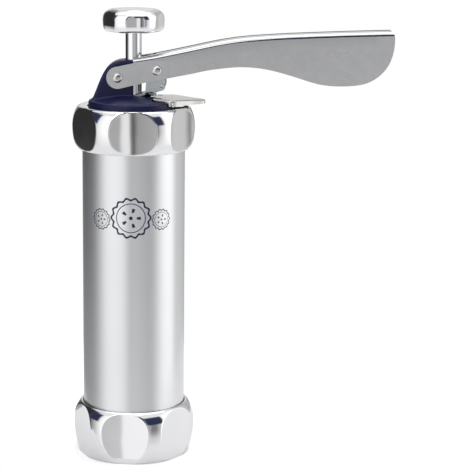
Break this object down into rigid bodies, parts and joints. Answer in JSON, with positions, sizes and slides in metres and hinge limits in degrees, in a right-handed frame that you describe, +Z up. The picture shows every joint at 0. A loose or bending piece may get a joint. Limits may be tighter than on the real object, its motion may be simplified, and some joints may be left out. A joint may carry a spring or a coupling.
{
  "type": "cookie press",
  "caption": "Cookie press: metal barrel with fluted die ring and cap ring, a hand lever that feeds the piston rod, and a release tab.",
  "frame": {"origin": "centre of the die plate's outer face, on the barrel axis", "axes": "+Z up the barrel toward the knob; +X toward the lever's tip; +Y across the lever, away from the viewer"},
  "size_m": [0.1866, 0.0684, 0.2645],
  "materials": {
    "barrel": "satin anodised",
    "bottom_ring": "polished",
    "die_plate": "stamped",
    "top_ring": "polished",
    "cap": "navy gloss",
    "guide_plate": "plain",
    "guide_screw_1": "plain",
    "guide_screw_2": "plain",
    "guide_screw_3": "plain",
    "brake_plate": "hardened, zinc plated",
    "brake_spring": "spring wire",
    "piston_rod": "polished",
    "knob": "polished",
    "piston": "moulded",
    "piston_washer": "plain",
    "piston_screw": "plain",
    "lever": "satin",
    "pivot_pin": "polished head",
    "pawl_pin": "polished head",
    "drive_pawl": "zinc plated",
    "pawl_end_pin": "plain",
    "pawl_spring": "spring wire",
    "release_tab": "nickel plated",
    "tab_pin": "plain"
  },
  "bodies": {
    "barrel": {"barrel": "barrel"},
    "die": {"die_plate": "die_plate"},
    "bottom_ring": {"bottom_ring": "bottom_ring"},
    "cap": {"cap": "cap", "guide_plate": "guide_plate", "guide_screw_1": "guide_screw_1", "guide_screw_2": "guide_screw_2", "guide_screw_3": "guide_screw_3", "brake_spring": "brake_spring"},
    "top_ring": {"top_ring": "top_ring"},
    "rod": {"piston_rod": "piston_rod", "knob": "knob", "piston": "piston", "piston_washer": "piston_washer", "piston_screw": "piston_screw"},
    "lever": {"lever": "lever", "pivot_pin": "pivot_pin", "pawl_pin": "pawl_pin"},
    "pawl": {"drive_pawl": "drive_pawl", "pawl_end_pin": "pawl_end_pin"},
    "tab": {"release_tab": "release_tab", "tab_pin": "tab_pin", "pawl_spring": "pawl_spring"},
    "brake": {"brake_plate": "brake_plate"}
  },
  "joints": [
    {"name": "die_travel", "type": "slide", "parent": "barrel", "child": "die", "axis": [0, 0, -1], "range_m": [0, 0.009]},
    {"name": "bottom_ring_turn", "type": "hinge", "parent": "die", "child": "bottom_ring", "pos_m": [0, 0, 0], "axis": [0, 0, -1], "range_deg": [-5, 1085]},
    {"name": "cap_travel", "type": "slide", "parent": "barrel", "child": "cap", "axis": [0, 0, 1], "range_m": [0, 0.009]},
    {"name": "top_ring_turn", "type": "hinge", "parent": "cap", "child": "top_ring", "pos_m": [0, 0, 0.187], "axis": [0, 0, 1], "range_deg": [-5, 1085]},
    {"name": "rod_slide", "type": "slide", "parent": "cap", "child": "rod", "axis": [0, 0, 1], "range_m": [-0.0095, 0.158]},
    {"name": "lever_hinge", "type": "hinge", "parent": "cap", "child": "lever", "pos_m": [-0.0089, 0, 0.2164], "axis": [0, -1, 0], "range_deg": [0, 18]},
    {"name": "pawl_hinge", "type": "hinge", "parent": "lever", "child": "pawl", "pos_m": [0.0138, 0, 0.2208], "axis": [0, -1, 0], "range_deg": [-10, 1]},
    {"name": "tab_hinge", "type": "hinge", "parent": "cap", "child": "tab", "pos_m": [0.0234, 0, 0.2016], "axis": [0, 1, 0], "range_deg": [0, 4], "stiffness_Nm_per_rad": 0.6, "springref_deg": -4.58, "deforming": ["pawl_spring"]},
    {"name": "brake_hinge", "type": "hinge", "parent": "cap", "child": "brake", "pos_m": [-0.01, 0, 0.1999], "axis": [0, -1, 0], "range_deg": [-0.2, 3], "deforming": ["brake_spring"]}
  ],
  "couplings": [
    {"joint": "bottom_ring_turn", "follows": "die_travel", "rad_per_m": 2094.4},
    {"joint": "top_ring_turn", "follows": "cap_travel", "rad_per_m": 2094.4},
    {"joint": "pawl_hinge", "follows": "lever_hinge", "ratio": -0.456},
    {"joint": "brake_hinge", "follows": "tab_hinge", "ratio": 0.7}
  ]
}
